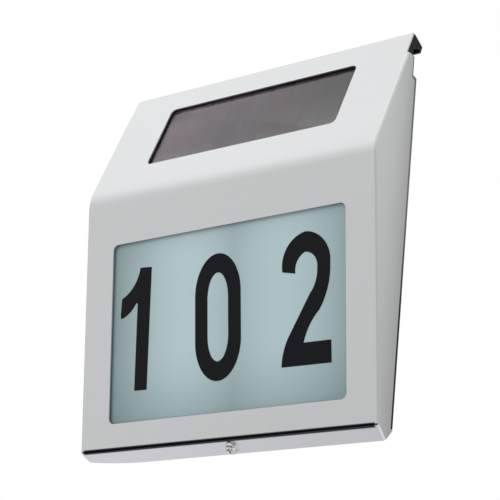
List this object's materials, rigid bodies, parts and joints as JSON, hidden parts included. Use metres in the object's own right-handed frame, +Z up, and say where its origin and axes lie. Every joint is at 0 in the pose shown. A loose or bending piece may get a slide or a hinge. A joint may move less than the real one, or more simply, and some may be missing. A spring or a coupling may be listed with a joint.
{
  "type": "illuminated house number sign",
  "caption": "Wall-hung solar house number sign: folded steel cover with a solar window and a lit number window over a black tray with a sliding battery door, hooked on a wall bracket.",
  "frame": {"origin": "midway between the wall bracket's two screw holes, on the wall plane", "axes": "+X to the right as seen from the front, +Y into the wall, +Z up"},
  "size_m": [0.176, 0.0343, 0.2026],
  "materials": {
    "brushed_steel": "fine brushed",
    "plated_steel": "bright zinc plated",
    "stainless": "polished",
    "black_plastic": "fine grain moulded",
    "frosted_panel": "frosted",
    "digit_film": "satin film",
    "black_foam": "closed cell foam",
    "solar_glass": "clear",
    "silicon": "dark violet cells",
    "solar_sheet": "satin laminate",
    "white_plastic": "satin moulded",
    "lamp_white": "phosphor coated",
    "board": "solder resist",
    "cell_wrap": "printed sleeve",
    "nickel": "nickel plated",
    "brass": "turned",
    "foot_rubber": "matt",
    "chip_black": "moulded",
    "capacitor_can": "satin",
    "lead_red": "insulated",
    "lead_black": "insulated"
  },
  "bodies": {
    "wall_bracket": {"wall_bracket": "plated_steel"},
    "lamp": {"front_cover": "brushed_steel", "cover_tabs": "brushed_steel", "light_box_screws": "plated_steel", "board_screws": "plated_steel", "switch_body": "plated_steel", "back_housing": "black_plastic", "number_panel": "frosted_panel", "digit_one": "digit_film", "digit_zero": "digit_film", "digit_two": "digit_film", "number_panel_seal": "black_foam", "solar_seal": "black_foam", "solar_glass": "solar_glass", "solar_cells": "silicon", "solar_back_sheet": "solar_sheet", "light_box": "white_plastic", "led_lamps": "lamp_white", "led_board": "board", "control_board": "board", "battery_cell": "cell_wrap", "battery_contact_plus": "nickel", "battery_contact_minus": "nickel", "battery_spring": "nickel", "lock_insert": "brass", "wall_feet": "foot_rubber", "control_chip": "chip_black", "power_coil": "chip_black", "buffer_capacitor": "capacitor_can", "solar_lead_red": "lead_red", "battery_lead_red": "lead_red", "led_lead_red": "lead_red", "solar_lead_black": "lead_black", "battery_lead_black": "lead_black", "led_lead_black": "lead_black"},
    "battery_door": {"battery_door": "black_plastic"},
    "switch_knob": {"switch_knob": "black_plastic"},
    "lock_washer": {"lock_washer": "stainless"},
    "lock_screw": {"lock_screw": "stainless"}
  },
  "joints": [
    {"name": "lamp_lift", "type": "slide", "parent": "wall_bracket", "child": "lamp", "axis": [0, 0, 1], "range_m": [0, 0.01]},
    {"name": "battery_door_slide", "type": "slide", "parent": "lamp", "child": "battery_door", "axis": [0, 0, 1], "range_m": [0, 0.018]},
    {"name": "switch_slide", "type": "slide", "parent": "lamp", "child": "switch_knob", "axis": [1, 0, 0], "range_m": [0, 0.0025]},
    {"name": "lock_washer_travel", "type": "slide", "parent": "lamp", "child": "lock_washer", "axis": [0, -0.6587, -0.7524], "range_m": [0, 0.0045]},
    {"name": "lock_screw_turn", "type": "hinge", "parent": "lock_washer", "child": "lock_screw", "pos_m": [0.0045, -0.01246, -0.17511], "axis": [0, -0.6587, -0.7524], "range_deg": [0, 3240]}
  ],
  "couplings": [
    {"joint": "lock_screw_turn", "follows": "lock_washer_travel", "rad_per_m": 12566}
  ]
}
